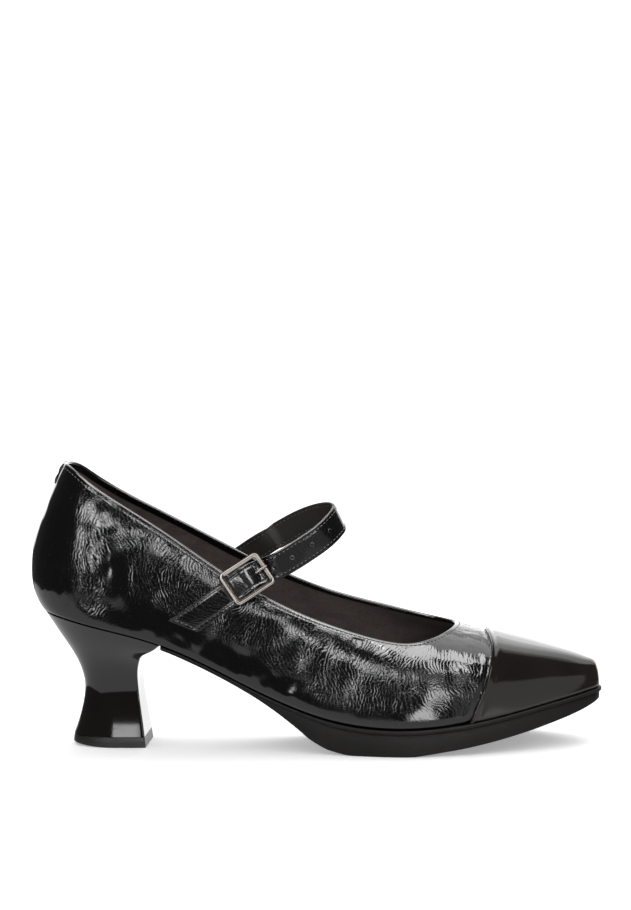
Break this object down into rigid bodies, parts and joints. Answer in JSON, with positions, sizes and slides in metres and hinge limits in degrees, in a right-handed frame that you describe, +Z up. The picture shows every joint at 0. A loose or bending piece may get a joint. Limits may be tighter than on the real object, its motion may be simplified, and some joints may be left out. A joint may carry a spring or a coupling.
{
  "type": "pump shoe",
  "caption": "Right foot pump with a stitched almond toe, spool heel, open throat and one instep strap with a square buckle.",
  "frame": {"origin": "on the floor, under the middle of the shoe's bounding box", "axes": "+X from the heel to the toe, +Y to the inner side of the foot, +Z up"},
  "size_m": [0.255, 0.0758, 0.1284],
  "materials": {
    "patent": "crinkled black patent leather, glossy",
    "toe_patent": "smooth black patent leather, glossy",
    "sole_rubber": "matte dark grey",
    "lining": "matte brown-grey lining leather",
    "heel_gloss": "glossy black lacquer",
    "tip_rubber": "satin black",
    "nickel": "polished warm nickel plate"
  },
  "bodies": {
    "root": {"upper": "patent", "toe_cap": "toe_patent", "outsole": "sole_rubber", "insole": "lining", "heel": "heel_gloss", "heel_tip": "tip_rubber", "strap": "patent", "strap_tab": "patent", "buckle": "nickel", "buckle_prong": "nickel", "back_tab": "patent"}
  },
  "joints": []
}
